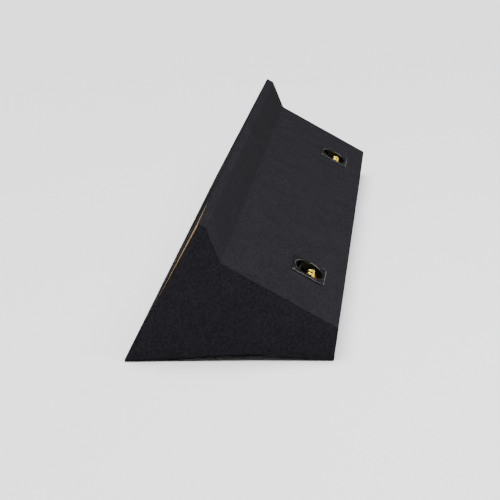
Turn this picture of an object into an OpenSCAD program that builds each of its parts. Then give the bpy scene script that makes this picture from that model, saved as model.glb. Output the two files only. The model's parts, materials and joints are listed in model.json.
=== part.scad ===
// Carpeted twin 10-inch loudspeaker enclosure, long and low, for behind a vehicle's bench seat.
// X runs along the box, the front board faces -Y and leans back, the sloping terminal face
// looks up and to +Y, and Z is up from the surface that the box stands on.

/* [Box] */
// Overall length along X
body_l = 1370; // [1000:5:1500]
// Height of the front face, measured along its slope
front_h = 299; // [290:1:330]
// Slope of the front face above the horizontal, degrees
front_angle = 60.4; // [58:0.1:64]
// Length of the short upper rear face
upper_h = 70; // [60:1:85]
// Fall of the upper rear face below the horizontal, degrees
upper_angle = 70.2; // [66:0.1:74]
// Length of the sloping face that carries the terminals
back_h = 238; // [225:1:260]
// Fall of the terminal face below the horizontal, degrees
back_angle = 31; // [28:0.1:33]
// Depth of the floor from front edge to rear edge
floor_d = 381; // [370:1:400]
// Distance from the front edge to the bend in the floor
bend_y = 237.5; // [200:0.5:260]
// Height of that bend above the two edges that the box stands on
bend_z = 13.7; // [6:0.1:16]
// Board thickness
board_t = 15; // [14:0.5:16]
// Carpet thickness
carpet_t = 2; // [1.5:0.1:2.5]

/* [Bare board edge] */
// Widest gap between the end carpet and the front edge
trim_gap = 2.5; // [2:0.5:6]
// Length of the bare stretch along the top front edge
bare_l = 165; // [80:5:300]

/* [Woofers] */
// Distance of each woofer's centre from the middle of the box
woofer_x = 335; // [300:1:345]
// Woofer centre, measured up the front face from the bottom edge
woofer_s = 153; // [152:0.5:154]
// Frame radius
frame_r = 129.5; // [128:0.5:130]
// Cut-out radius in the front board
cutout_r = 115; // [114:0.5:115]
// Depth of the rebate that lets the frame in
rebate_h = 6; // [5:0.5:7]
// Mounting screws on each woofer
screw_count = 8; // [8:8:8]
// Radius of the screw circle
screw_ring_r = 122.5; // [122:0.1:123]

/* [Terminals] */
// Distance of each cup's centre from the middle of the box
cup_x = 467; // [440:1:520]
// Cup centre, measured down the terminal face from its upper edge
cup_s = 161; // [150:1:170]
// Flange length along the box
flange_l = 96; // [92:1:100]
// Flange height down the slope
flange_w = 70; // [69:1:76]
// Half the oval recess's length along the box
recess_l = 39; // [37:0.5:40]
// Half the oval recess's width down the slope
recess_w = 29; // [28:0.5:29]
// Radius of the recess's rounded ends
recess_end_r = 24; // [22:0.5:26]
// Depth of the recess floor below the face
recess_d = 24; // [23:0.5:26]
// Distance between the two posts of a cup
post_pitch = 19; // [18:0.1:20]
// Offset of the knobs' tops from the cup's centre, down the slope
post_s = 3.8; // [2:0.1:5]
// Lean of the posts up the slope, away from the face's normal, degrees
post_lean = 40; // [35:1:42]
// Radius of the threaded stud
stud_r = 3.5; // [3.5:0.1:3.6]
// Radius of the socket in the stud's end
socket_r = 2; // [2:0.05:2.1]
// Radius of the gold knob
knob_r = 7.3; // [6.5:0.1:7.5]

/* [Hidden] */
$fn = 96;

RIGHT = 1;
LEFT = -1;
RED = -1;
BLACK = 1;

wall = board_t + carpet_t;
core_l = body_l - 2 * carpet_t;
inner_l = core_l - 2 * board_t;

// Outline of the finished box in the YZ plane, clockwise from the bottom front edge. The top strip
// is just wide enough to cover the square end of the front board.
function ray(angle, length) = length * [cos(angle), sin(angle)];
top_w = wall + carpet_t * tan((front_angle + upper_angle - 90) / 2);
front_top = ray(front_angle, front_h);
top_rear = front_top + ray(front_angle - 90, top_w);
step = top_rear + ray(-upper_angle, upper_h);
rear_top = step + ray(-back_angle, back_h);
mid_y = rear_top.x / 2;
function centred(p) = [p.x - mid_y, p.y];
outline = [for (p = [[0, 0], front_top, top_rear, step, rear_top, [floor_d, 0], [bend_y, bend_z]])
    centred(p)];

// Moves every edge of a clockwise outline inwards by d and keeps its corners sharp
function inward(p, q) = let (e = (q - p) / norm(q - p)) [e.y, -e.x];
function inset(points, d) = let (n = len(points)) [for (i = [0 : n - 1])
    let (n1 = inward(points[(i + n - 1) % n], points[i]), n2 = inward(points[i], points[(i + 1) % n]))
    points[i] + d * (n1 + n2) / (1 + n1 * n2)];
function crossing(p, dir_p, q, dir_q) = p + dir_p * cross(q - p, dir_q) / cross(dir_p, dir_q);

core = inset(outline, carpet_t);
front_dir = ray(front_angle, 1);
apex = crossing(outline[0], front_dir, outline[3], ray(-upper_angle, 1));
cavity = inset([outline[0], apex, outline[3], outline[4], outline[5], outline[6]], wall);
baffle_foot = crossing(cavity[0], front_dir, core[0], core[6] - core[0]);

// Woofer depths below the front face
seat_z = -carpet_t - rebate_h;
frame_t = 1.5;
trim_top_z = seat_z + 5.2;
ledge_z = -52;
basket_z = -62;
plate_t = 8;
magnet_t = 18;
pole_gap_r = 27;
coil_r = 25;
screw_r = 2;

// Terminal heights above and below the terminal face
gasket_t = 0.8;
flange_t = 2.2;
flange_z = gasket_t + flange_t;
flange_corner_r = 6;
cup_wall = 2;
cup_floor_t = 2.5;
cup_screw_x = 40;
cup_screw_s = 28.5;
cup_screw_r = 1.5;

// Centres of the arcs that make the recess's oval
end_x = recess_l - recess_end_r;
side_y = (end_x * end_x - (recess_w - recess_end_r) ^ 2) / (2 * (recess_w - recess_end_r));

// Heights along a post's own axis, which starts near the face and runs down into the cup's pad
post_z = -1;
pad_z = -22;
pad_base_z = pad_z - cup_floor_t;
collar_z = pad_z + 2.8;
collar_t = 3.5;
knob_z = collar_z + collar_t + 0.3;
knob_t = 15.6;
run = 0.05;

// Places in the frame: children are drawn with Z along the face's outward normal
module on_front(x, s) {
    p = outline[0] + s * front_dir;
    translate([x, p.x, p.y]) rotate([front_angle, 0, 0]) children();
}

module on_terminal_face(x, s) {
    p = outline[3] + ray(-back_angle, s);
    translate([x, p.x, p.y]) rotate([-back_angle, 0, 0]) children();
}

module at_woofer(side) on_front(side * woofer_x, woofer_s) children();
module at_cup(side) on_terminal_face(side * cup_x, cup_s) children();
module along_post(x) translate([x, post_s, post_z]) rotate([post_lean, 0, 0]) children();
module at_post(side, colour) at_cup(side) along_post(colour * post_pitch / 2) children();

// A board or carpet strip with the given YZ outline, from x to x + length
module along_x(points, x, length)
    translate([x, 0, 0]) rotate([90, 0, 90]) linear_extrude(length) polygon(points);

module disc(r, z0, z1) translate([0, 0, z0]) cylinder(r = r, h = z1 - z0);

module tube(r_out, r_in, z0, z1) difference() {
    disc(r_out, z0, z1);
    disc(r_in, z0 - 1, z1 + 1);
}

module around_woofer() for (i = [0 : screw_count - 1])
    rotate([0, 0, (i + 0.5) * 360 / screw_count]) translate([screw_ring_r, 0, 0]) children();

module at_cup_screws() for (sx = [-1, 1], sy = [-1, 1])
    translate([sx * cup_screw_x, sy * cup_screw_s, 0]) children();

// Rounded rectangle built from plain squares and circles
module rounded(l, w, r) {
    square([l - 2 * r, w], center = true);
    square([l, w - 2 * r], center = true);
    for (sx = [-1, 1], sy = [-1, 1]) translate([sx * (l / 2 - r), sy * (w / 2 - r)]) circle(r);
}

// The recess's outline, moved out by extra: two end arcs and two side arcs that meet smoothly
module oval(extra) {
    side_r = recess_w + side_y + extra;
    meet_x = end_x * side_r / (side_r - recess_end_r - extra);
    for (sx = [-1, 1]) translate([sx * end_x, 0]) circle(recess_end_r + extra);
    intersection() {
        translate([0, -side_y]) circle(side_r);
        translate([0, side_y]) circle(side_r);
        square([2 * meet_x, 2 * side_r], center = true);
    }
}

module oval_plug(extra, z0, z1) translate([0, 0, z0]) linear_extrude(z1 - z0) oval(extra);

// ---- Boards ----

module front_baffle() color("tan") difference() {
    along_x([core[0], core[1], core[2], baffle_foot], -core_l / 2, core_l);
    for (side = [LEFT, RIGHT]) at_woofer(side) {
        disc(frame_r + 1, seat_z, 1);
        disc(cutout_r, -wall - 1, 1);
        around_woofer() disc(3 + run, -wall - 1, seat_z + 1);
    }
}

module panel(points) color("tan") along_x(points, -inner_l / 2, inner_l);

module upper_rear_panel() panel([core[2], core[3], cavity[2], cavity[1]]);

module terminal_panel() difference() {
    panel([core[3], core[4], cavity[3], cavity[2]]);
    for (side = [LEFT, RIGHT]) at_cup(side) {
        oval_plug(cup_wall + 1, -wall - 2, 1);
        at_cup_screws() disc(cup_screw_r + run, -12, 1);
    }
}

module rear_panel() panel([core[4], core[5], cavity[4], cavity[3]]);
module floor_panel_rear() panel([core[5], core[6], cavity[5], cavity[4]]);
module floor_panel_front() panel([core[6], baffle_foot, cavity[0], cavity[5]]);

module end_panel(side) color("tan") along_x(
    [baffle_foot, core[2], core[3], core[4], core[5], core[6]],
    side * (core_l - board_t) / 2 - board_t / 2, board_t);

module centre_divider() color("tan") along_x(cavity, -board_t / 2, board_t);

// ---- Carpet ----

module carpet_front() color([0.15, 0.15, 0.16]) difference() {
    along_x([outline[0], outline[1], core[1], core[0]], -body_l / 2, body_l);
    for (side = [LEFT, RIGHT]) at_woofer(side) disc(frame_r + 1, -wall, 1);
}

// The wrap stops short of the front edge over the last stretch of its top strip
module carpet_wrap() color([0.19, 0.19, 0.2]) difference() {
    along_x([outline[1], outline[2], outline[3], outline[4], outline[5],
        core[5], core[4], core[3], core[2], core[1]], -body_l / 2, body_l);
    for (side = [LEFT, RIGHT]) at_cup(side) {
        oval_plug(cup_wall + 1, -wall, 1);
        at_cup_screws() disc(cup_screw_r + run, -wall, 1);
    }
    on_front(body_l / 2, front_h) rotate([90, 0, 0]) translate([0, 0, -1])
        linear_extrude(carpet_t + 1) polygon([[1, 0], [1, -trim_gap], [-bare_l, -0.1], [-bare_l, 0]]);
}

module carpet_floor() color([0.12, 0.12, 0.12]) along_x(
    [outline[5], outline[6], outline[0], core[0], core[6], core[5]], -body_l / 2, body_l);

module carpet_end_left() color([0.12, 0.12, 0.12]) along_x(core, -body_l / 2, carpet_t);

// The right end's carpet is trimmed at a slight angle and leaves the board's edge bare at the top
module carpet_end_right() {
    low = core[0] + 0.3 * (core[1] - core[0]);
    cut = core[1] + ray(front_angle - 90, trim_gap);
    color([0.12, 0.12, 0.12]) along_x(
        [core[0], low, cut, core[2], core[3], core[4], core[5], core[6]],
        core_l / 2, carpet_t);
}

// ---- Terminal cups ----

module terminal_cup(side) color([0.05, 0.05, 0.05]) at_cup(side) difference() {
    union() {
        translate([0, 0, gasket_t]) linear_extrude(flange_t) rounded(flange_l, flange_w, flange_corner_r);
        oval_plug(cup_wall, -recess_d - cup_floor_t, gasket_t);
    }
    difference() {
        oval_plug(0, -recess_d, flange_z + 1);
        below_pad(pad_z);
    }
    below_pad(pad_base_z);
    at_cup_screws() disc(cup_screw_r + 0.2, -1, flange_z + 1);
    for (colour = [RED, BLACK]) along_post(colour * post_pitch / 2) disc(stud_r + run, pad_base_z - 1, 0);
}

// Everything under a plane square to the posts: the cup's slanted pad and the hollow behind it
module below_pad(z) along_post(0) translate([-60, -60, z - 60]) cube([120, 120, 60]);

module cup_gasket(side) color([0.2, 0.2, 0.2]) at_cup(side) difference() {
    linear_extrude(gasket_t) rounded(flange_l - 2, flange_w - 2, flange_corner_r - 1);
    oval_plug(cup_wall + run, -1, gasket_t + 1);
    at_cup_screws() disc(cup_screw_r + 0.2, -1, gasket_t + 1);
}

// Pan-head screw with a cross recess; z is the face that the head bears on
module pan_screw(r, head_r, head_h, length) {
    difference() {
        disc(head_r, 0, head_h);
        for (a = [0, 90]) rotate([0, 0, a])
            translate([-head_r * 0.55, -head_r * 0.13, head_h * 0.4]) cube([head_r * 1.1, head_r * 0.26, head_h]);
    }
    disc(r, -length, 0.01);
}

module cup_screws() color([0.1, 0.1, 0.1]) for (side = [LEFT, RIGHT]) at_cup(side)
    at_cup_screws() translate([0, 0, flange_z]) pan_screw(cup_screw_r, 2.9, 1.2, 14);

// Threaded stud: a hexagonal foot on the cup's pad, a wire hole above it and a plug socket on top
module post_studs(side) color("gold") for (colour = [RED, BLACK]) at_post(side, colour) difference() {
    union() {
        disc(stud_r, pad_base_z - 11.5, knob_z + knob_t - 0.6);
        translate([0, 0, pad_z]) cylinder(r = 8, h = 2.5, $fn = 6);
    }
    disc(socket_r, knob_z - 0.5, 5);
    translate([0, 0, collar_z + 1.8]) rotate([0, 90, 0]) cylinder(r = 1.3, h = 20, center = true);
}

module post_nuts() color("gold") for (side = [LEFT, RIGHT], colour = [RED, BLACK])
    at_post(side, colour) difference() {
        translate([0, 0, pad_base_z - 3]) cylinder(r = 6.3, h = 3, $fn = 6);
        disc(stud_r + run, pad_base_z - 4, 0);
    }

// Coloured insulating collar, carried up and down under the knob without turning
module collar(side, colour) at_post(side, colour)
    tube(8, stud_r + run, collar_z, collar_z + collar_t);

module red_collar(side) color("crimson") collar(side, RED);
module black_collar(side) color([0.1, 0.1, 0.1]) collar(side, BLACK);

// Gold knob with flutes round its grip and a plain band at each end
module knob(side, colour) color("gold") at_post(side, colour) difference() {
    union() {
        disc(knob_r, knob_z, knob_z + knob_t - 1);
        disc(knob_r - 1, knob_z, knob_z + knob_t);
    }
    disc(stud_r + run, knob_z - 1, knob_z + knob_t + 1);
    for (i = [0 : 11]) rotate([0, 0, i * 30]) translate([knob_r + 0.5, 0, 0]) disc(1.1, knob_z + 3, knob_z + knob_t - 3);
}

// ---- Woofers ----

// Pressed-steel frame: flat flange, sloping basket with six windows, spider ledge and base
module woofer_frame(side) color([0.12, 0.12, 0.12]) at_woofer(side) difference() {
    rotate_extrude() polygon([
        [frame_r, seat_z], [frame_r, seat_z + frame_t], [111, seat_z + frame_t],
        [106.5, -22], [65, ledge_z + frame_t], [58.5, ledge_z + frame_t], [58.5, basket_z + frame_t],
        [pole_gap_r, basket_z + frame_t], [pole_gap_r, basket_z], [60, basket_z], [60, ledge_z],
        [65.5, ledge_z], [108, -22.5], [112, seat_z]]);
    for (i = [0 : 5]) rotate([0, 0, i * 60 + 9]) rotate_extrude(angle = 42)
        polygon([[70, -58], [70, -46], [102, -20], [125, -24], [90, -58]]);
    around_woofer() disc(screw_r + 0.3, seat_z - 1, seat_z + 3);
}

// Moulded ring over the flange, with a counterbore for each screw head
module trim_gasket(side) color([0.09, 0.09, 0.09]) at_woofer(side) difference() {
    rotate_extrude() polygon([
        [117.2, seat_z + frame_t], [frame_r, seat_z + frame_t], [frame_r, trim_top_z - 1],
        [frame_r - 1, trim_top_z], [115, trim_top_z], [113, trim_top_z - 1.4],
        [113, seat_z + frame_t + 0.8], [117.2, seat_z + frame_t + 0.8]]);
    around_woofer() disc(4.5, seat_z, trim_top_z + 1);
}

// Half rolls of the surround, as a thin strip: two low humps between the cone rim and the frame
function roll_z(r) = r < 94 || r > 112 ? 0 : 4.2 * abs(sin((r - 94) * 20));
function roll_base(r) = seat_z + frame_t * min(1, max(0, (r - 94) / 18));
roll_rs = [88, for (r = [94 : 1 : 112]) r, 117];
surround_t = 0.8;

module surround(side) color([0.07, 0.07, 0.07]) at_woofer(side) rotate_extrude() polygon(concat(
    [for (r = roll_rs) [r, roll_base(r) + roll_z(r)]],
    [for (i = [len(roll_rs) - 1 : -1 : 0]) let (r = roll_rs[i])
        [r, roll_base(r) + roll_z(r) + surround_t]]));

module cone(side) color([0.11, 0.11, 0.12]) at_woofer(side) rotate_extrude() polygon([
    [94, seat_z - 1.2], [94, seat_z - 0.05], [87, seat_z - 0.05], [70, -20], [45, -34.5], [coil_r + 0.6, -43],
    [coil_r + 0.6, -44.4], [45, -36], [70, -21.4], [87, seat_z - 1.2]]);

dome_r = 46;
cap_r = 34;
cap_z = -39.27;
function dome(r, radius) = cap_z + sqrt(radius * radius - r * r) - sqrt(dome_r * dome_r - cap_r * cap_r);

module dust_cap(side) color([0.06, 0.06, 0.06]) at_woofer(side) rotate_extrude() polygon(concat(
    [for (r = [0 : 2 : cap_r]) [r, dome(r, dome_r)]],
    [for (r = [cap_r - 1 : -3 : 0]) [r, dome(r, dome_r) - 1]], [[0, dome(0, dome_r) - 1]]));

module voice_coil(side) color("sienna") at_woofer(side) {
    tube(coil_r + 0.5, coil_r, -76, -41);
    tube(coil_r + 1.2, coil_r + 0.5, -76, -56);
}

function ripple(r) = ledge_z + frame_t + 0.1 + (r < 29 || r > 57 ? 0 : 1.6 * abs(sin((r - 29) * 180 / 7)));
spider_rs = [coil_r + 1.25, for (r = [29 : 1.75 : 57]) r, 63];

module spider(side) color([0.75, 0.6, 0.25]) at_woofer(side) rotate_extrude() polygon(concat(
    [for (r = spider_rs) [r, ripple(r)]],
    [for (i = [len(spider_rs) - 1 : -1 : 0]) let (r = spider_rs[i]) [r, ripple(r) + 0.6]]));

plate_z = basket_z - plate_t;
magnet_z = plate_z - magnet_t;

module top_plate(side) color("silver") at_woofer(side) tube(54, pole_gap_r, plate_z, basket_z);
module magnet(side) color([0.2, 0.2, 0.2]) at_woofer(side) tube(60, 32, magnet_z, plate_z);

module back_plate(side) color("silver") at_woofer(side) difference() {
    union() {
        disc(54, magnet_z - plate_t, magnet_z);
        disc(coil_r - 1, magnet_z - 1, basket_z);
    }
    disc(8, magnet_z - plate_t - 1, basket_z + 1);
}

// Board with two tabs, riveted on the rear of the basket's upright wall
module tag_strip(side) color("peru") at_woofer(side) {
    translate([60.2, -12, ledge_z - 8.5]) cube([2, 24, 8]);
    for (y = [-7, 7]) translate([62.2, y - 2.4, ledge_z - 6]) cube([9, 4.8, 0.8]);
}

module woofer_screws() color([0.1, 0.1, 0.1]) for (side = [LEFT, RIGHT]) at_woofer(side)
    around_woofer() translate([0, 0, seat_z + frame_t]) pan_screw(screw_r, 4, 2.6, 14);

module tee_nuts() color("silver") for (side = [LEFT, RIGHT]) at_woofer(side)
    around_woofer() difference() {
        union() {
            disc(3, -wall, seat_z - 0.5);
            disc(7.4, -wall - 1.2, -wall);
        }
        disc(screw_r + run, -wall - 2, seat_z);
    }

// ---- Leads ----

// Twin lead from the studs' tails, down on to the floor board and up to the woofer's tabs. The
// points are for the right side, as [distance from the cup's centre towards the middle, Y, Z].
lead_r = 1.5;
lead_route = [
    [0, 137.85, 63.55], [0, 138.8, 56], [2, 137, 47], [5, 129.5, 39], [9, 116, 33], [14, 98, 30],
    [20, 76, 31], [27, 54, 32.8], [34, 26, 32.8], [42, -2, 33], [48, -20, 36], [53, -36, 43],
    [57, -49, 54], [60, -58, 68], [61, -63, 82], [61, -66, 94]
];

// Ring of points around the route at point i
function heading(route, i) = let (n = len(route) - 1, d = route[min(i + 1, n)] - route[max(i - 1, 0)])
    d / norm(d);
function lead_ring(route, i) = let (
    h = heading(route, i),
    side_dir = [1, 0, 0] - h.x * h,
    u = side_dir / norm(side_dir),
    v = cross(h, u))
    [for (k = [0 : 7]) route[i] + lead_r * (cos(k * 45) * u + sin(k * 45) * v)];

module conductor(route) {
    n = len(route);
    points = [for (i = [0 : n - 1]) each lead_ring(route, i)];
    sides = [for (i = [0 : n - 2], k = [0 : 7])
        [i * 8 + k, i * 8 + (k + 1) % 8, (i + 1) * 8 + (k + 1) % 8, (i + 1) * 8 + k]];
    ends = [[for (k = [7 : -1 : 0]) k], [for (k = [0 : 7]) (n - 1) * 8 + k]];
    polyhedron(points, [for (f = concat(sides, ends)) [for (j = [len(f) - 1 : -1 : 0]) f[j]]]);
}

// Half the gap between the two conductors: wide at the studs, closed along the run, wide at the tabs
function spread(i) = let (n = len(lead_route) - 1) max(1.7, post_pitch / 2 - 2.6 * i, 7 - 2 * (n - i));

module speaker_lead(side) for (half = [-1, 1])
    color(half < 0 ? "crimson" : "black")
        conductor([for (i = [0 : len(lead_route) - 1]) let (p = lead_route[i])
            [side * (cup_x - p.x) + half * spread(i), p.y, p.z]]);

front_baffle();
upper_rear_panel();
terminal_panel();
rear_panel();
floor_panel_rear();
floor_panel_front();
end_panel(RIGHT);  // end_panel_right
end_panel(LEFT);  // end_panel_left
centre_divider();
carpet_front();
carpet_wrap();
carpet_floor();
carpet_end_right();
carpet_end_left();
terminal_cup(RIGHT);  // terminal_cup_right
terminal_cup(LEFT);  // terminal_cup_left
cup_gasket(RIGHT);  // cup_gasket_right
cup_gasket(LEFT);  // cup_gasket_left
cup_screws();
post_studs(RIGHT);  // post_studs_right
post_studs(LEFT);  // post_studs_left
post_nuts();
red_collar(RIGHT);  // red_collar_right
red_collar(LEFT);  // red_collar_left
black_collar(RIGHT);  // black_collar_right
black_collar(LEFT);  // black_collar_left
knob(RIGHT, RED);  // red_knob_right
knob(LEFT, RED);  // red_knob_left
knob(RIGHT, BLACK);  // black_knob_right
knob(LEFT, BLACK);  // black_knob_left
woofer_frame(RIGHT);  // woofer_frame_right
woofer_frame(LEFT);  // woofer_frame_left
trim_gasket(RIGHT);  // trim_gasket_right
trim_gasket(LEFT);  // trim_gasket_left
surround(RIGHT);  // surround_right
surround(LEFT);  // surround_left
cone(RIGHT);  // cone_right
cone(LEFT);  // cone_left
dust_cap(RIGHT);  // dust_cap_right
dust_cap(LEFT);  // dust_cap_left
voice_coil(RIGHT);  // voice_coil_right
voice_coil(LEFT);  // voice_coil_left
spider(RIGHT);  // spider_right
spider(LEFT);  // spider_left
top_plate(RIGHT);  // top_plate_right
top_plate(LEFT);  // top_plate_left
magnet(RIGHT);  // magnet_right
magnet(LEFT);  // magnet_left
back_plate(RIGHT);  // back_plate_right
back_plate(LEFT);  // back_plate_left
tag_strip(RIGHT);  // tag_strip_right
tag_strip(LEFT);  // tag_strip_left
woofer_screws();
tee_nuts();
speaker_lead(RIGHT);  // speaker_lead_right
speaker_lead(LEFT);  // speaker_lead_left
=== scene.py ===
"""Looks for a carpeted twin 10-inch speaker enclosure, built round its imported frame.

Settings are in millimetres unless they say otherwise; meshes are in metres.
"""

import json
import math

import bmesh
import bpy
import numpy as np
from bpy.props import FloatProperty, IntProperty, PointerProperty, StringProperty
from mathutils import Matrix, Vector, noise


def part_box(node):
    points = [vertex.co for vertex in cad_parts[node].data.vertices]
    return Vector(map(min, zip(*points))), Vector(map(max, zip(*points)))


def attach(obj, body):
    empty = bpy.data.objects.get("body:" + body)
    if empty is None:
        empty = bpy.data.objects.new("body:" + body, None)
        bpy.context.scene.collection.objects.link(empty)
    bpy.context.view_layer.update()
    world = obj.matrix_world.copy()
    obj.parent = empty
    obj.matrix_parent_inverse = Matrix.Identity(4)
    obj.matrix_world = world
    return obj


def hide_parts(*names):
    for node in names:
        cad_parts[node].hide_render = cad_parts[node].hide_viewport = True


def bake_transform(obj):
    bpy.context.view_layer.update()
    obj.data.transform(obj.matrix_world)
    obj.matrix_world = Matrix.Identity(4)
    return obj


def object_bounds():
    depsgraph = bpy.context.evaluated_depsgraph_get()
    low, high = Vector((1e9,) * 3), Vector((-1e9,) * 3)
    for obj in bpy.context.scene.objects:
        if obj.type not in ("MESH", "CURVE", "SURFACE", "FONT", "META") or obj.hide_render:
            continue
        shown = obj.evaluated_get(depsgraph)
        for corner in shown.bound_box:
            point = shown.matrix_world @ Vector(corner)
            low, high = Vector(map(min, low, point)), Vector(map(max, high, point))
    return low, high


bl_info = {
    "name": "Carpeted speaker enclosure",
    "version": (1, 0, 0),
    "blender": (4, 5, 0),
    "location": "View3D > Sidebar > Enclosure",
    "description": "Builds the carpet, terminals, woofers and stage round the packed enclosure",
    "category": "Object",
}

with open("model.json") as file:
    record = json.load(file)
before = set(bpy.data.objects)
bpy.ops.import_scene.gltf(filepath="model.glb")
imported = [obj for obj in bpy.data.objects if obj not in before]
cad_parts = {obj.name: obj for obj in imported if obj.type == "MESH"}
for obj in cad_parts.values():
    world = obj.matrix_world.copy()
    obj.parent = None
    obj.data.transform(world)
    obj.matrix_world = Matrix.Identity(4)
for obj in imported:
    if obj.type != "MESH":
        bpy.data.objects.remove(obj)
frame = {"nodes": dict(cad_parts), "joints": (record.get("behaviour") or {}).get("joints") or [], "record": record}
CAD_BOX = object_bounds()
RECORD = frame["record"]
JOINTS = {joint["name"]: joint for joint in frame["joints"]}
MM = 0.001
SIDES = ("right", "left")
COLOURS = ("red", "black")
CABINET = "cabinet"


# ---- Kinds of setting ----


def in_mm(name, description, default):
    """A size setting. Blender shows its camera unit in millimetres."""
    return FloatProperty(name=name, description=description, default=default, unit="CAMERA")


def in_degrees(name, description, degrees):
    """An angle setting, kept in radians and shown in degrees."""
    return FloatProperty(name=name, description=description, default=math.radians(degrees), subtype="ANGLE")


# ---- Places, read from the frame ----


def centre_of(node):
    low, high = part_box(node)
    return (low + high) / 2


def corner_points(node):
    """The corners of an end carpet in the YZ plane, clockwise from the bottom front edge, in metres."""
    corners = {(round(v.co.y, 6), round(v.co.z, 6)) for v in frame["nodes"][node].data.vertices}
    top_y, top_z = max(corners, key=lambda p: p[1])
    hub = (top_y, 0.35 * top_z)
    turn = sorted(corners, key=lambda p: -math.atan2(p[1] - hub[1], p[0] - hub[0]))
    first = turn.index(min(turn))
    return [Vector(p) for p in turn[first:] + turn[:first]]


def moved_out(points, distance):
    """A clockwise outline with every edge moved outwards by distance."""
    count = len(points)
    edges = [(points[(i + 1) % count] - points[i]).normalized() for i in range(count)]
    normals = [Vector((-e.y, e.x)) for e in edges]
    result = []
    for i in range(count):
        a, b = normals[i - 1], normals[i]
        result.append(points[i] + distance * (a + b) / (1 + a.dot(b)))
    return result


LENGTH = CAD_BOX[1].x - CAD_BOX[0].x
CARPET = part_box("carpet_end_left")[1].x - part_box("carpet_end_left")[0].x
BOARDS = corner_points("carpet_end_left")
OUTLINE = moved_out(BOARDS, CARPET)


def placed(location, z_axis):
    """A matrix with local X along the box, local Z along z_axis and its origin at location."""
    z = Vector(z_axis).normalized()
    x = Vector((1, 0, 0))
    y = z.cross(x)
    return Matrix(((x.x, y.x, z.x, location.x), (x.y, y.y, z.y, location.y),
                   (x.z, y.z, z.z, location.z), (0, 0, 0, 1)))


def woofer_place(side):
    """Origin where the woofer's axis meets the front face, Z outwards."""
    axis = Vector(JOINTS[f"cone_travel_{side}"]["axis"])
    on_axis = centre_of(f"top_plate_{side}")
    foot = Vector((on_axis.x, OUTLINE[0].x, OUTLINE[0].y))
    return placed(on_axis - axis * (on_axis - foot).dot(axis), axis)


def post_place(side, colour):
    joint = JOINTS[f"{colour}_knob_{side}_turn"]
    return placed(Vector(joint["pos_m"]), joint["axis"])


def cup_place(side):
    """Origin at a terminal cup's centre on the terminal face, Z outwards."""
    upper, lower = OUTLINE[3], OUTLINE[4]
    slope = (lower - upper).normalized()
    normal = Vector((0, -slope.y, slope.x))
    on_axis = centre_of(f"cup_gasket_{side}")
    return placed(on_axis - normal * (on_axis - Vector((0, *upper))).dot(normal), normal)


# ---- Mesh helpers ----


def new_object(name, points, faces):
    mesh = bpy.data.meshes.new(name)
    mesh.from_pydata([tuple(p) for p in points], [], faces)
    mesh.validate()
    mesh.update()
    obj = bpy.data.objects.new(name, mesh)
    bpy.context.scene.collection.objects.link(obj)
    return obj


def smooth(obj, angle=40):
    """Smooth shading with edges sharper than angle kept crisp."""
    obj.data.shade_smooth()
    obj.data.set_sharp_from_angle(angle=math.radians(angle))


def lathe(name, profile, place, segments=128, ring=False, radius=None, angles=None):
    """Turns an (r, z) profile in mm about local Z. A ring's profile closes on itself; any other
    starts and ends on the axis. radius(r, z, angle) may change a radius round the turn."""
    angles = angles or [2 * math.pi * k / segments for k in range(segments)]
    count = len(angles)
    points, faces, rows = [], [], []
    for r, z in profile:
        if r == 0:
            rows.append([len(points)] * count)
            points.append(Vector((0, 0, z)) * MM)
            continue
        rows.append([len(points) + k for k in range(count)])
        for a in angles:
            shaped = radius(r, z, a) if radius else r
            points.append(Vector((shaped * math.cos(a), shaped * math.sin(a), z)) * MM)
    for low, high in zip(rows, rows[1:] + rows[:1] if ring else rows[1:]):
        for k in range(count):
            n = (k + 1) % count
            corners = [low[k], low[n], high[n], high[k]]
            faces.append([v for i, v in enumerate(corners) if v != corners[i - 1]])
    obj = new_object(name, [place @ p for p in points], faces)
    outward(obj)
    return obj


def outward(obj):
    """Turns every face of a closed mesh outwards."""
    work = bmesh.new()
    work.from_mesh(obj.data)
    bmesh.ops.recalc_face_normals(work, faces=work.faces)
    work.to_mesh(obj.data)
    work.free()


def arc(centre, radius, start, end, steps):
    """Points (r, z) on an arc, angles in degrees."""
    return [(centre[0] + radius * math.cos(math.radians(start + (end - start) * i / steps)),
             centre[1] + radius * math.sin(math.radians(start + (end - start) * i / steps)))
            for i in range(steps + 1)]


def baked(obj):
    """The object's mesh with its modifiers applied, as one plain mesh."""
    graph = bpy.context.evaluated_depsgraph_get()
    mesh = bpy.data.meshes.new_from_object(obj.evaluated_get(graph), depsgraph=graph)
    obj.modifiers.clear()
    old = obj.data
    obj.data = mesh
    bpy.data.meshes.remove(old)
    return obj


def cut(obj, cutters, operation="DIFFERENCE"):
    """Takes closed cutter meshes out of obj, or joins or keeps what they share."""
    for cutter in cutters:
        modifier = obj.modifiers.new("cut", "BOOLEAN")
        modifier.operation = operation
        modifier.solver = "EXACT"
        modifier.object = cutter
    baked(obj)
    for cutter in cutters:
        bpy.data.objects.remove(cutter)
    return obj


def block(name, corners):
    """A closed block from eight corners, ordered by X, then Y, then Z."""
    obj = new_object(name, corners, [[0, 1, 3, 2], [4, 6, 7, 5], [0, 4, 5, 1], [2, 3, 7, 6],
                                     [0, 2, 6, 4], [1, 5, 7, 3]])
    outward(obj)
    return obj


def plug(place, radius, low, high, segments=128):
    """A closed cylinder in mm, for cutting."""
    return lathe("plug", [(0, low), (radius, low), (radius, high), (0, high)], place, segments)


def finish_piece(obj, body, nodes, slot):
    """Finish, body and the CAD nodes it stands for."""
    obj.data.materials.clear()
    obj.data.materials.append(MATERIALS[slot])
    if body:
        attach(obj, body)
    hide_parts(*nodes)


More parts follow.
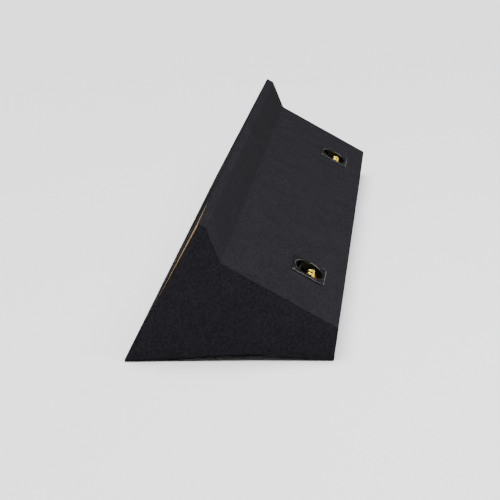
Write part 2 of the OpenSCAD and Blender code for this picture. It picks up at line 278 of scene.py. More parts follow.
def joined(name, objects):
    """Several closed meshes as one piece."""
    work = bmesh.new()
    for obj in objects:
        work.from_mesh(obj.data)
        bpy.data.objects.remove(obj)
    mesh = bpy.data.meshes.new(name)
    work.to_mesh(mesh)
    work.free()
    result = bpy.data.objects.new(name, mesh)
    bpy.context.scene.collection.objects.link(result)
    return result


# ---- Node helpers ----


def add(tree, kind, settings=None, inputs=None):
    """Adds a node with its settings; an input is a value, or a socket to link from."""
    node = tree.nodes.new(kind)
    for name, value in (settings or {}).items():
        setattr(node, name, value)
    for name, value in (inputs or {}).items():
        socket = node.inputs[name]
        if isinstance(value, bpy.types.NodeSocket):
            tree.links.new(value, socket)
        else:
            socket.default_value = value
    return node


def linear(hex_colour):
    """A hex sRGB colour such as #1A1A1B as linear RGBA."""
    channels = [int(hex_colour[i:i + 2], 16) / 255 for i in (1, 3, 5)]
    return tuple(c / 12.92 if c <= 0.04045 else ((c + 0.055) / 1.055) ** 2.4 for c in channels) + (1.0,)


def per(size_mm):
    """Noise scale for features of that size."""
    return 1 / (size_mm * MM)


def new_material(name, **values):
    """A material and its tree, principled shader and Object coordinates."""
    material = bpy.data.materials.new(name)
    material.use_nodes = True
    tree = material.node_tree
    shader = tree.nodes["Principled BSDF"]
    for key, value in values.items():
        shader.inputs[key.replace("_", " ")].default_value = value
    place = add(tree, "ShaderNodeTexCoord").outputs["Object"]
    return material, tree, shader, place


def mottle(tree, place, size_mm, dark, light, low=0.35, high=0.65, detail=3.0):
    """Two colours mixed by noise of that feature size. Returns the colour and the noise."""
    grain = add(tree, "ShaderNodeTexNoise", None,
                {"Vector": place, "Scale": per(size_mm), "Detail": detail}).outputs["Fac"]
    ramp = add(tree, "ShaderNodeValToRGB", None, {"Fac": grain})
    ramp.color_ramp.elements[0].position = low
    ramp.color_ramp.elements[0].color = linear(dark)
    ramp.color_ramp.elements[1].position = high
    ramp.color_ramp.elements[1].color = linear(light)
    return ramp.outputs["Color"], grain


def bump(tree, shader, height, strength, depth_mm):
    node = add(tree, "ShaderNodeBump", None,
               {"Height": height, "Strength": strength, "Distance": depth_mm * MM})
    tree.links.new(node.outputs["Normal"], shader.inputs["Normal"])


# ---- Materials ----


def carpet_material(name, dark, light):
    """Needled polyester trunk carpet: short matt fibres in every direction, slightly clumped, with
    a soft sheen at low angles."""
    material, tree, shader, place = new_material(
        name, Roughness=1.0, Sheen_Weight=0.01, Sheen_Roughness=0.6, Specular_IOR_Level=0.0)
    clumps, _ = mottle(tree, place, 45, dark, light, 0.1, 0.9, 2.0)
    fibres, fine = mottle(tree, place, 4.5, dark, light, 0.3, 0.7, 6.0)
    mixed = add(tree, "ShaderNodeMix", {"data_type": "RGBA"})
    mixed.inputs["Factor"].default_value = 0.7
    tree.links.new(clumps, mixed.inputs["A"])
    tree.links.new(fibres, mixed.inputs["B"])
    tree.links.new(mixed.outputs["Result"], shader.inputs["Base Color"])
    bump(tree, shader, fine, 0.35, 0.8)
    return material


def mdf_material():
    """Raw MDF: matt compressed wood fibre, tan with darker specks."""
    material, tree, shader, place = new_material("raw_mdf", Roughness=0.85, Specular_IOR_Level=0.3)
    colour, grain = mottle(tree, place, 1.6, "#A07E50", "#DDBD8A", 0.25, 0.7, 6.0)
    tree.links.new(colour, shader.inputs["Base Color"])
    bump(tree, shader, grain, 0.4, 0.3)
    return material


def abs_material(name, dark, light, roughness):
    """Injection-moulded ABS: a smooth skin with a faint spark-eroded grain."""
    material, tree, shader, place = new_material(name, Roughness=roughness, IOR=1.53)
    colour, _ = mottle(tree, place, 6, dark, light)
    tree.links.new(colour, shader.inputs["Base Color"])
    grain = add(tree, "ShaderNodeTexNoise", None, {"Vector": place, "Scale": per(0.7)})
    bump(tree, shader, grain.outputs["Fac"], 0.25, 0.05)
    return material


def metal_material(name, dark, light, roughness, grain_mm=2.0):
    """Plated or bare turned metal, with slight variation in tone and a fine machined grain."""
    material, tree, shader, place = new_material(name, Roughness=roughness, Metallic=1.0)
    colour, grain = mottle(tree, place, grain_mm, dark, light, 0.3, 0.75, 4.0)
    tree.links.new(colour, shader.inputs["Base Color"])
    bump(tree, shader, grain, 0.15, 0.03)
    return material


def dull_material(name, dark, light, roughness, grain_mm, depth_mm=0.1, specular=0.5):
    """Matt non-metal with grain of that size: pulp, foam, rubber, cloth, ferrite or powder coat."""
    material, tree, shader, place = new_material(
        name, Roughness=roughness, Specular_IOR_Level=specular)
    colour, grain = mottle(tree, place, grain_mm, dark, light, 0.3, 0.7, 4.0)
    tree.links.new(colour, shader.inputs["Base Color"])
    bump(tree, shader, grain, 0.5, depth_mm)
    return material


MATERIALS = {}


def make_materials(carpet):
    """Every finish of the box, by the record's slot name."""
    MATERIALS.update({
        "carpet": carpet_material("needled_carpet", carpet.dark, carpet.light),
        "mdf": mdf_material(),
        "cup_plastic": abs_material("moulded_black_abs", "#070707", "#0B0B0C", 0.28),
        "foam": dull_material("closed_cell_foam", "#141414", "#1E1E1F", 0.9, 0.9),
        "black_screws": metal_material("black_oxide_steel", "#242426", "#38383A", 0.35),
        "gold_plate": metal_material("gold_plated_brass", "#EBCB2E", "#FFEF6E", 0.22),
        "red_plastic": abs_material("red_abs", "#8A1012", "#A01618", 0.3),
        "black_plastic": abs_material("black_abs", "#0D0D0E", "#141415", 0.35),
        "frame_paint": dull_material("powder_coated_steel", "#151516", "#1C1C1D", 0.55, 1.2),
        "trim_rubber": dull_material("moulded_trim_rubber", "#131314", "#1B1B1C", 0.7, 2.0),
        "surround_rubber": dull_material("butyl_rubber", "#101011", "#171718", 0.6, 4.0, 0.05),
        "cone_paper": dull_material("pressed_paper_pulp", "#17171A", "#26262A", 0.9, 1.8, 0.2),
        "cap_plastic": dull_material("polypropylene_cap", "#121213", "#18181A", 0.42, 5.0, 0.02),
        "copper_coil": metal_material("enamelled_copper", "#8A4A22", "#B5673A", 0.35),
        "spider_cloth": dull_material("resin_treated_cotton", "#A67F3A", "#C9A35A", 0.85, 1.0),
        "zinc_steel": metal_material("zinc_plated_steel", "#A9ABAD", "#C4C6C8", 0.38),
        "ferrite": dull_material("sintered_ferrite", "#222224", "#2E2E30", 0.6, 2.5),
        "tag_board": dull_material("phenolic_board", "#5A3417", "#74471F", 0.6, 1.5),
        "lead_insulation": abs_material("pvc_insulation", "#5C0A0C", "#7A1013", 0.45),
    })


# ---- Carpet skins ----


def rounded_path(points, radii, step):
    """Points, outward normals and lengths along an open outline with its inner corners rounded.
    Distances between points stay under step, and a rounded corner has a point every 12 degrees."""
    places, normals = [], []

    def put(p, n):
        if not places or (p - places[-1]).length > 1e-7:
            places.append(p)
            normals.append(n.normalized())

    start = points[0]
    for i in range(1, len(points)):
        corner = points[i]
        direction = (corner - points[i - 1]).normalized()
        normal = Vector((-direction.y, direction.x))
        last = i == len(points) - 1
        if last:
            end = corner
        else:
            onward = (points[i + 1] - corner).normalized()
            turn = math.atan2(direction.x * onward.y - direction.y * onward.x, direction.dot(onward))
            trim = radii[i] * math.tan(abs(turn) / 2)
            end = corner - direction * trim
        count = max(1, math.ceil((end - start).length / step))
        for k in range(count + 1):
            put(start.lerp(end, k / count), normal)
        if last:
            break
        steps = max(2, math.ceil(math.degrees(abs(turn)) / 12))
        side = 1 if turn > 0 else -1
        hub = end + Vector((-direction.y, direction.x)) * radii[i] * side
        for k in range(1, steps + 1):
            spoke = Matrix.Rotation(turn * k / steps, 2) @ (end - hub)
            put(hub + spoke, spoke * -side)
        start = hub + Matrix.Rotation(turn, 2) @ (end - hub)
    lengths = np.cumsum([0] + [(b - a).length for a, b in zip(places, places[1:])])
    return places, normals, lengths


def edge_height(distance, radius):
    """Height of a quarter-round edge, as a share, at that distance from the edge."""
    t = 1 - min(max(distance / radius, 0), 1)
    return math.sqrt(max(0.0, 1 - t * t))


def with_edges(values, radius):
    """A rising list of places with extra ones near both ends, for the quarter-round edges."""
    low, high = values[0], values[-1]
    extra = [radius * (1 - math.cos(math.radians(a))) for a in (18, 36, 54, 72, 90)]
    inner = [v for v in values if low + radius * 1.2 < v < high - radius * 1.2]
    return [low] + [low + e for e in extra] + inner + [high - e for e in reversed(extra)] + [high]


# Lengths of the carpet's unevenness along and across the box, in metres, and the short waves' share
SLOW_WAVE = (0.07, 0.05)
SHORT_WAVE = (0.011, 0.009)
SHORT_SHARE = 0.35


def swell(x, u, size):
    """Slow unevenness of glued carpet and the short waves of its surface, in metres."""
    slow = noise.noise(Vector((x / SLOW_WAVE[0], u / SLOW_WAVE[1], 3.1)))
    quick = noise.noise(Vector((x / SHORT_WAVE[0], u / SHORT_WAVE[1], 7.7)))
    return (slow + SHORT_SHARE * quick) * size


def skin(name, points, radii, settings, start_gap=None):
    """Carpet over a folded outline: a closed sheet with rounded edges, from end to end of the box."""
    thickness = CARPET
    edge = settings.edge_radius * MM
    places, normals, lengths = rounded_path(points, radii, settings.grid * MM)
    first = next(i for i in range(1, len(places)) if normals[i].angle(normals[0]) > 1e-4) - 1
    rows = [float(v) for v in with_edges(list(lengths), edge)]
    half = LENGTH / 2
    count = math.ceil(LENGTH / (settings.grid * 1.3 * MM))
    columns = with_edges([-half + LENGTH * k / count for k in range(count + 1)], edge)
    total = lengths[-1]
    lengths = np.array(lengths)
    py = np.array([p.x for p in places])
    pz = np.array([p.y for p in places])
    ny = np.array([n.x for n in normals])
    nz = np.array([n.y for n in normals])

    def at(u):
        n = Vector((np.interp(u, lengths, ny), np.interp(u, lengths, nz))).normalized()
        return Vector((np.interp(u, lengths, py), np.interp(u, lengths, pz))), n

    first_length = lengths[first]
    outer, inner = [], []
    for x in columns:
        gap = start_gap(x) if start_gap else 0.0
        top_line, back_line = [], []
        for u in rows:
            uu = gap + u * (first_length - gap) / first_length if u < first_length else u
            p, n = at(uu)
            share = edge_height(u, edge) * edge_height(total - u, edge)
            share *= edge_height(x + half, edge) * edge_height(half - x, edge)
            base = p - n * thickness
            lift = thickness * share + (swell(x, uu, settings.swell * MM) - settings.swell * MM) * share
            top = base + n * max(lift, 0.0)
            top_line.append(Vector((x, top.x, top.y)))
            back_line.append(Vector((x, base.x, base.y)))
        outer.append(top_line)
        inner.append(back_line)
    n_cols, n_rows = len(columns), len(rows)
    points3 = [p for line in outer for p in line]
    index_back = {}
    for i in range(1, n_cols - 1):
        for j in range(1, n_rows - 1):
            index_back[i, j] = len(points3)
            points3.append(inner[i][j])

    def back(i, j):
        return index_back.get((i, j), i * n_rows + j)

    faces = []
    for i in range(n_cols - 1):
        for j in range(n_rows - 1):
            a, b, c, d = i * n_rows + j, (i + 1) * n_rows + j, (i + 1) * n_rows + j + 1, i * n_rows + j + 1
            faces.append([a, d, c, b])
            faces.append([back(i, j), back(i + 1, j), back(i + 1, j + 1), back(i, j + 1)])
    obj = new_object(name, points3, faces)
    outward(obj)
    return obj, float(total)


def towards(point, other, distance):
    return point + (other - point).normalized() * distance


def rounded_loop(points, reach):
    """A closed outline with each corner cut by a short curve."""
    loop = []
    for i, corner in enumerate(points):
        before, after = points[i - 1], points[(i + 1) % len(points)]
        length = min(reach, (before - corner).length / 3, (after - corner).length / 3)
        a, b = towards(corner, before, length), towards(corner, after, length)
        loop += [a.lerp(corner, t).lerp(corner.lerp(b, t), t) for t in (0, 0.25, 0.5, 0.75, 1)]
    return loop


def end_skin(name, x, points, settings):
    """Carpet on the end at x: a flat sheet with a softly rounded rim."""
    edge = settings.rim_radius * MM
    outline = rounded_loop(points, settings.corner_radius * MM)
    count = len(outline)
    rings = [[(x - math.copysign(CARPET, x), p.x, p.y) for p in outline]]
    for angle in (0, 22, 45, 68, 90):
        inset = edge * (1 - math.cos(math.radians(angle)))
        depth = edge * (1 - math.sin(math.radians(angle)))
        rings.append([(x - math.copysign(depth, x), p.x, p.y) for p in moved_out(outline, -inset)])
    faces = [[r * count + k, r * count + (k + 1) % count, (r + 1) * count + (k + 1) % count,
              (r + 1) * count + k] for r in range(len(rings) - 1) for k in range(count)]
    faces += [list(range(count)), [(len(rings) - 1) * count + k for k in range(count)]]
    obj = new_object(name, [p for ring in rings for p in ring], faces)
    outward(obj)
    return obj


def enclosed_area(points):
    return abs(sum(a.x * b.y - b.x * a.y for a, b in zip(points, points[1:] + points[:1]))) / 2


class CarpetSettings(bpy.types.PropertyGroup):
    dark: StringProperty(name="Dark fibre", description="sRGB colour between fibres", default="#121213")
    light: StringProperty(name="Light fibre", description="sRGB colour of the fibre tips", default="#242328")
    grid: FloatProperty(name="Grid", description="Mesh spacing", default=6.0, min=3.0, unit="CAMERA")
    edge_radius: in_mm("Edge radius", "Rounding of the cut edges", 2.0)
    rim_radius: in_mm("Rim radius", "Rounding of the end pieces", 0.9)
    corner_radius: in_mm("Fold radius", "Radius over board edges", 3.0)
    valley_radius: in_mm("Valley radius", "Radius in the hollow", 9.0)
    swell: in_mm("Unevenness", "Height of the slow waves", 0.25)
    tuck: in_mm("Tuck", "Width turned under the floor", 12.0)
    bare_gap: in_mm("Bare edge", "Widest gap along the top edge", 1.0)
    bare_length: in_mm("Bare length", "Length of that gap", 165.0)


class ENCLOSURE_OT_carpet(bpy.types.Operator):
    """Carpet on the front, over the top and back, under the floor and on both ends"""

    bl_idname = "enclosure.carpet"
    bl_label = "Carpet"

    def execute(self, context):
        s = context.scene.enclosure_carpet
        a, b, c, d, e, f, g = OUTLINE
        fold, valley, tuck = s.corner_radius * MM, s.valley_radius * MM, s.tuck * MM
        bare_start = LENGTH / 2 - s.bare_length * MM

        def gap(x):
            share = max(0.0, (x - bare_start) / (LENGTH / 2 - bare_start))
            return CARPET + s.bare_gap * MM * min(1.0, 1.6 * share)

        front_line = [towards(a, g, tuck), a, b]
        wrap_line = [b, c, d, e, f, towards(f, g, tuck)]
        floor_line = [towards(f, g, tuck), g, towards(a, g, tuck)]
        strips = (
            ("front_carpet", "carpet_front", front_line, [0, fold, 0], None, woofer_openings),
            ("wrap_carpet", "carpet_wrap", wrap_line, [0, fold, valley, fold, fold, 0], gap, cup_openings),
            ("floor_carpet", "carpet_floor", floor_line, [0, valley, 0], None, None),
        )
        for name, node, line, radii, start_gap, openings in strips:
            obj, width = skin(name, line, radii, s, start_gap)
            area = LENGTH * width
            if openings:
                cutters, lost = openings(context)
                cut(obj, cutters)
                area -= lost
            smooth(obj, 60)
            finish_piece(obj, CABINET, [node], "carpet")
        for side, x in (("right", LENGTH / 2), ("left", -LENGTH / 2)):
            node = f"carpet_end_{side}"
            points = corner_points(node)
            obj = end_skin(f"end_carpet_{side}", x, points, s)
            smooth(obj, 60)
            finish_piece(obj, CABINET, [node], "carpet")
        return {"FINISHED"}


def woofer_openings(context):
    """Cutters a little over the woofer frames, and the area in m2 that they take out."""
    low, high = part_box("woofer_frame_right")
    radius = (high.x - low.x) / 2 / MM + 1
    cutters = [plug(woofer_place(side), radius, -20, 20) for side in SIDES]
    return cutters, 2 * math.pi * (radius * MM) ** 2


def cup_openings(context):
    """Cutters for the cups' bodies, and the area in m2 that they take out."""
    cup = context.scene.enclosure_cup
    cutters = [oval_plug(cup_place(side), cup, cup.wall + 1, -20, 20) for side in SIDES]
    rim = [(oval(cup, cup.wall + 1, a), a) for a in flange_angles(cup)]
    return cutters, 2 * enclosed_area([Vector((r * math.cos(a), r * math.sin(a))) * MM for r, a in rim])


# ---- Terminal cups ----


class CupSettings(bpy.types.PropertyGroup):
    flange_length: in_mm("Flange length", "Along the box", 96.0)
    flange_width: in_mm("Flange width", "Down the slope", 70.0)
    corner: in_mm("Flange corner", "Corner radius", 6.0)
    gasket: in_mm("Gasket", "Foam under the flange", 0.8)
    flange: in_mm("Flange", "Flange thickness", 2.2)
    recess_length: in_mm("Half recess, length", "Along the box", 39.0)
    recess_width: in_mm("Half recess, width", "Down the slope", 29.0)
    end_radius: in_mm("Recess ends", "Radius of the oval's ends", 24.0)
    depth: in_mm("Recess depth", "Below the carpet", 24.0)
    wall: in_mm("Wall", "Wall thickness", 2.0)
    base: in_mm("Floor", "Thickness of the floor and pad", 2.5)
    edge: in_mm("Flange edge", "Rounding of the flange", 1.8)
    rim: in_mm("Recess rim", "Rounding of the recess's rim", 1.5)
    pad: in_mm("Pad", "Height along a post's axis", -22.0)
    post_hole: in_mm("Post hole", "Radius", 3.55)
    screw_hole: in_mm("Screw hole", "Radius", 1.7)
    screw_x: in_mm("Screw offset, length", "From the centre", 40.0)
    screw_y: in_mm("Screw offset, width", "From the centre", 28.5)


def rounded_rectangle(half_length, half_width, corner, angle):
    """Distance from the centre to a rounded rectangle's edge at that angle."""
    c, s = abs(math.cos(angle)), abs(math.sin(angle))
    reach = min(half_length / max(c, 1e-9), half_width / max(s, 1e-9))
    a, b = half_length - corner, half_width - corner
    if reach * c > a and reach * s > b:
        along = c * a + s * b
        reach = along + math.sqrt(max(0.0, along * along - (a * a + b * b - corner * corner)))
    return reach


def oval(settings, extra, angle):
    """Distance from the centre to the recess's four-arc oval, moved out by extra."""
    c, s = abs(math.cos(angle)), abs(math.sin(angle))
    end_x = settings.recess_length - settings.end_radius
    rise = settings.recess_width - settings.end_radius
    side_y = (end_x * end_x - rise * rise) / (2 * rise)
    end_r = settings.end_radius + extra
    side_r = settings.recess_width + side_y + extra
    on_end = c * end_x + math.sqrt(max(0.0, end_r ** 2 - (s * end_x) ** 2))
    if on_end * c * side_y > end_x * (on_end * s + side_y):
        return on_end
    return math.sqrt(side_r ** 2 - (c * side_y) ** 2) - s * side_y


def flange_angles(settings):
    """Even steps round a flange, with more of them round its corners."""
    corner = math.atan2(settings.flange_width, settings.flange_length)
    quarter = {math.radians(2.5 * k) for k in range(36)}
    quarter |= {corner + math.radians(k * 0.9) for k in range(-6, 7)}
    first = sorted(quarter)
    half = first + [math.pi / 2] + [math.pi - a for a in reversed(first) if a > 0]
    return half + [a + math.pi for a in half]


def screw_corners(settings):
    return [Vector((sx * settings.screw_x, sy * settings.screw_y, 0)) * MM
            for sx in (-1, 1) for sy in (-1, 1)]


def oval_plug(place, settings, extra, low, high):
    """A closed oval cylinder in mm, in the recess's outline moved out by extra."""
    size = settings.recess_length
    return lathe("plug", [(0, low), (size, low), (size, high), (0, high)], place,
                 radius=lambda r, z, angle: oval(settings, extra, angle))


def slab(place, low, high):
    """A wide closed block between two heights in mm along local Z."""
    reach = 60
    corners = [place @ (Vector((x, y, z)) * MM)
               for x in (-reach, reach) for y in (-reach, reach) for z in (low, high)]
    return block("slab", corners)


def cup_shell(name, place, s):
    """Flange, rounded rim and oval recess in one turn. Radii in the profile are along the box."""
    top, half, length = s.gasket + s.flange, s.flange_length / 2, s.recess_length
    profile = [(0, -s.depth - s.base), (length + s.wall, -s.depth - s.base), (length + s.wall, s.gasket),
               (half - 0.3, s.gasket), (half, s.gasket + 0.3)]
    profile += arc((half - s.edge, top - s.edge), s.edge, 0, 90, 5)
    profile += [(half - s.edge - 0.5, top), (length + s.rim + 0.5, top)]
    profile += [(2 * (length + s.rim) - r, z) for r, z in arc((length + s.rim, top - s.rim), s.rim, 90, 0, 6)]
    profile += arc((length - 1.5, -s.depth + 1.5), 1.5, 0, -90, 4) + [(0, -s.depth)]

    def radius(r, z, angle):
        if r < half - s.edge - 1:
            return oval(s, r - length, angle)
        inset = half - r
        return rounded_rectangle(r, s.flange_width / 2 - inset, s.corner - inset, angle)

    return lathe(name, profile, place, radius=radius, angles=flange_angles(s))


class ENCLOSURE_OT_cups(bpy.types.Operator):
    """Terminal cups: moulded flange, oval recess and a slanted pad for the posts"""

    bl_idname = "enclosure.cups"
    bl_label = "Terminal cups"

    def execute(self, context):
        s = context.scene.enclosure_cup
        for side in SIDES:
            place = cup_place(side)
            posts = [post_place(side, colour) for colour in COLOURS]
            obj = cut(cup_shell(f"cup_{side}", place, s), [slab(posts[0], -80, s.pad - s.base)])
            pad = cut(slab(posts[0], s.pad - s.base, s.pad),
                      [oval_plug(place, s, s.wall / 2, -s.depth - s.base / 2, 0)], "INTERSECT")
            cut(obj, [pad], "UNION")
            holes = [plug(post, s.post_hole, s.pad - s.base - 2, s.pad + 2, 48) for post in posts]
            holes += [plug(place @ Matrix.Translation(p), s.screw_hole, -2, s.gasket + s.flange + 2, 32)
                      for p in screw_corners(s)]
            cut(obj, holes)
            smooth(obj, 35)
            finish_piece(obj, CABINET, [f"terminal_cup_{side}"], "cup_plastic")
        return {"FINISHED"}


# ---- Binding posts ----


class PostSettings(bpy.types.PropertyGroup):
    knob: in_mm("Knob radius", "Outside, between the flutes", 7.3)
    knob_base: in_mm("Knob base", "Height along the axis", -15.4)
    knob_height: in_mm("Knob height", "From its base to its top", 15.6)
    flutes: IntProperty(name="Flutes", description="Grooves round the grip", default=12)
    flute: in_mm("Flute radius", "Of one groove in the grip", 1.1)
    bore: in_mm("Bore", "Radius in knob and collar", 3.55)
    collar: in_mm("Collar radius", "Outside of the coloured ring", 8.0)
    collar_base: in_mm("Collar base", "Height along the axis", -19.2)
    collar_height: in_mm("Collar height", "Of the coloured ring", 3.5)
    stud: in_mm("Stud radius", "Over the thread", 3.5)
    stud_top: in_mm("Stud top", "Height along the axis", -0.4)
    stud_end: in_mm("Stud end", "Height along the axis", -36.0)
    thread: in_mm("Thread pitch", "One turn of the thread", 0.8)
    socket: in_mm("Plug socket", "Radius", 2.0)
    foot: in_mm("Foot", "Corner radius of the hexagonal foot", 8.0)
    foot_height: in_mm("Foot height", "Of the hexagonal foot", 2.5)
    wire_hole: in_mm("Wire hole", "Radius", 1.3)


def fluted_knob(name, place, s):
    low, high = s.knob_base, s.knob_base + s.knob_height
    hub = s.knob + 0.5
    step = 2 * math.pi / s.flutes

    def radius(r, z, angle):
        if r < s.knob or not low + 3 < z < high - 3:
            return r
        across = hub * math.sin((angle + step / 2) % step - step / 2)
        if abs(across) >= s.flute:
            return r
        depth = math.sqrt(hub * hub - across * across) - math.sqrt(s.flute ** 2 - across * across)
        return min(r, depth)

    profile = [(s.bore, low), (s.knob - 0.5, low), (s.knob - 0.15, low + 0.15), (s.knob, low + 0.5),
               (s.knob, low + 2.9), (s.knob, low + 3.2), (s.knob, high - 3.2), (s.knob, high - 2.9),
               (s.knob, high - 1.5), (s.knob - 0.15, high - 1.15), (s.knob - 0.5, high - 1),
               (s.knob - 1, high - 1), (s.knob - 1, high - 0.4), (s.knob - 1.4, high), (s.bore + 0.4, high),
               (s.bore, high - 0.4)]
    obj = lathe(name, profile, place, s.flutes * 14, ring=True, radius=radius)
    smooth(obj, 32)
    return obj


def collar_ring(name, place, s):
    low, high = s.collar_base, s.collar_base + s.collar_height
    profile = [(s.bore, low), (s.collar - 0.5, low), (s.collar - 0.15, low + 0.15), (s.collar, low + 0.5),
               (s.collar, high - 0.5), (s.collar - 0.15, high - 0.15), (s.collar - 0.5, high), (s.bore, high)]
    obj = lathe(name, profile, place, 96, ring=True)
    smooth(obj, 32)
    return obj


def threaded_stud(place, s, floor):
    """A stud on a hexagonal foot, threaded above and below the cup's pad at height floor, with a
    socket and a wire hole."""
    foot_top = floor + s.foot_height
    socket_end = s.knob_base - 0.5

    def thread(low, high):
        turns = int((high - low) / s.thread)
        return [(r, low + (high - low) * (k + share) / turns) for k in range(turns)
                for r, share in ((s.stud, 0.3), (s.stud - 0.25, 0.8))]

    def radius(r, z, angle):
        if r < s.stud + 1:
            return r
        flat = math.pi / 3
        return r * math.cos(flat / 2) / math.cos(angle % flat - flat / 2)

    profile = [(0, s.stud_end), (s.stud - 0.5, s.stud_end)] + thread(s.stud_end + 0.4, floor - 2.6)
    profile += [(s.stud - 0.3, floor - 2.4), (s.stud - 0.3, floor), (s.foot - 0.2, floor),
                (s.foot, floor + 0.2), (s.foot, foot_top - 0.4), (s.foot - 0.4, foot_top),
                (s.stud - 0.3, foot_top)]
    profile += thread(foot_top + 0.3, s.stud_top - 0.6)
    profile += [(s.stud - 0.5, s.stud_top), (s.socket + 0.3, s.stud_top), (s.socket, s.stud_top - 0.3),
                (s.socket, socket_end), (0, socket_end)]
    obj = lathe("stud", profile, place, 72, radius=radius)
    hole = Matrix.Translation((0, 0, (s.collar_base + 1.8) * MM)) @ Matrix.Rotation(math.pi / 2, 4, "Y")
    cut(obj, [plug(place @ hole, s.wire_hole, -20, 20, 24)])
    return obj


class ENCLOSURE_OT_posts(bpy.types.Operator):
    """Gold knobs, coloured collars and threaded studs"""

    bl_idname = "enclosure.posts"
    bl_label = "Binding posts"

    def execute(self, context):
        s = context.scene.enclosure_post
        floor = context.scene.enclosure_cup.pad
        for side in SIDES:
            studs = []
            for colour in COLOURS:
                place = post_place(side, colour)
                knob = fluted_knob(f"knob_{colour}_{side}", place, s)
                finish_piece(knob, f"{colour}_knob_{side}_body", [f"{colour}_knob_{side}"], "gold_plate")
                collar = collar_ring(f"collar_{colour}_{side}", place, s)
                finish_piece(collar, f"{colour}_collar_{side}_body", [f"{colour}_collar_{side}"],
                             f"{colour}_plastic")
                studs.append(threaded_stud(place, s, floor))
            obj = joined(f"studs_{side}", studs)
            smooth(obj, 50)
            finish_piece(obj, CABINET, [f"post_studs_{side}"], "gold_plate")
        return {"FINISHED"}


# ---- Screws, by Geometry Nodes ----


class ScrewSettings(bpy.types.PropertyGroup):
    seed: IntProperty(name="Seed", description="For the turn of each screw's cross", default=4)
    cup_head: in_mm("Cup screw head", "Radius", 2.9)
    cup_head_height: in_mm("Cup screw head height", "Of the domed head", 1.2)
    cup_shank: in_mm("Cup screw shank", "Radius", 1.5)
    woofer_head: in_mm("Woofer screw head", "Radius", 4.0)
    woofer_head_height: in_mm("Woofer screw head height", "Of the domed head", 2.6)
    woofer_shank: in_mm("Woofer screw shank", "Radius", 2.0)
    woofer_ring: in_mm("Woofer screw circle", "Radius", 122.5)
    woofer_count: IntProperty(name="Woofer screws", description="Number on each woofer", default=8)
    seat: in_mm("Woofer flange top", "Below the carpet", -6.5)
    length: in_mm("Length", "Under the head", 14.0)


def pan_screw(head, height, shank, length):
    """One screw at the origin with a domed head and a cross recess."""
    profile = [(0, -length), (shank * 0.4, -length), (shank, -length + shank), (shank, 0), (head - 0.15, 0),
               (head, 0.15 * height), (head, 0.45 * height), (0.9 * head, 0.75 * height),
               (0.7 * head, 0.93 * height), (0.4 * head, height), (0, height)]
    obj = lathe("screw", profile, Matrix.Identity(4), 24)
    blades = []
    for turn in (0, math.pi / 2):
        size = Vector((head * 1.1, head * 0.26, height * 1.2)) * MM
        place = (Matrix.Translation((0, 0, height * MM)) @ Matrix.Rotation(turn, 4, "Z")
                 @ Matrix.Diagonal((*size, 1)))
        corners = [place @ Vector((x, y, z)) for x in (-0.5, 0.5) for y in (-0.5, 0.5) for z in (-0.5, 0.5)]
        blades.append(block("blade", corners))
    return cut(obj, blades)


def screw_tree():
    """Puts a screw on every point, tilted to its face, each with its own turn."""
    tree = bpy.data.node_groups.new("screw_set", "GeometryNodeTree")
    new = tree.interface.new_socket
    new("Points", in_out="INPUT", socket_type="NodeSocketGeometry")
    new("Screw", in_out="INPUT", socket_type="NodeSocketObject")
    new("Tilt", in_out="INPUT", socket_type="NodeSocketVector")
    new("Seed", in_out="INPUT", socket_type="NodeSocketInt")
    new("Finish", in_out="INPUT", socket_type="NodeSocketMaterial")
    new("Screws", in_out="OUTPUT", socket_type="NodeSocketGeometry")
    given = add(tree, "NodeGroupInput").outputs
    screw = add(tree, "GeometryNodeObjectInfo", None, {"Object": given["Screw"]})
    turn = add(tree, "FunctionNodeRandomValue", {"data_type": "FLOAT"}, {"Seed": given["Seed"]})
    turn.inputs[3].default_value = math.pi / 2
    spin = add(tree, "ShaderNodeCombineXYZ", None, {"Z": turn.outputs[1]})
    spun = add(tree, "FunctionNodeEulerToRotation", None, {"Euler": spin.outputs[0]})
    tilt = add(tree, "FunctionNodeEulerToRotation", None, {"Euler": given["Tilt"]})
    both = add(tree, "FunctionNodeRotateRotation", {"rotation_space": "LOCAL"},
               {"Rotation": tilt.outputs[0], "Rotate By": spun.outputs[0]})
    placed_screws = add(tree, "GeometryNodeInstanceOnPoints", None,
                        {"Points": given["Points"], "Instance": screw.outputs["Geometry"],
                         "Rotation": both.outputs[0]})
    real = add(tree, "GeometryNodeRealizeInstances", None, {"Geometry": placed_screws.outputs[0]})
    painted = add(tree, "GeometryNodeSetMaterial", None,
                  {"Geometry": real.outputs[0], "Material": given["Finish"]})
    add(tree, "NodeGroupOutput", None, {"Screws": painted.outputs[0]})
    return tree


def screw_set(name, node, tree, points, tilt, screw, seed):
    obj = new_object(name, points, [])
    modifier = obj.modifiers.new("screws", "NODES")
    modifier.node_group = tree
    values = {"Screw": screw, "Tilt": tilt, "Seed": seed, "Finish": MATERIALS["black_screws"]}
    for item in tree.interface.items_tree:
        if item.in_out == "INPUT" and item.name in values:
            modifier[item.identifier] = values[item.name]
    baked(obj)
    bpy.data.objects.remove(screw)
    smooth(obj, 35)
    finish_piece(obj, CABINET, [node], "black_screws")


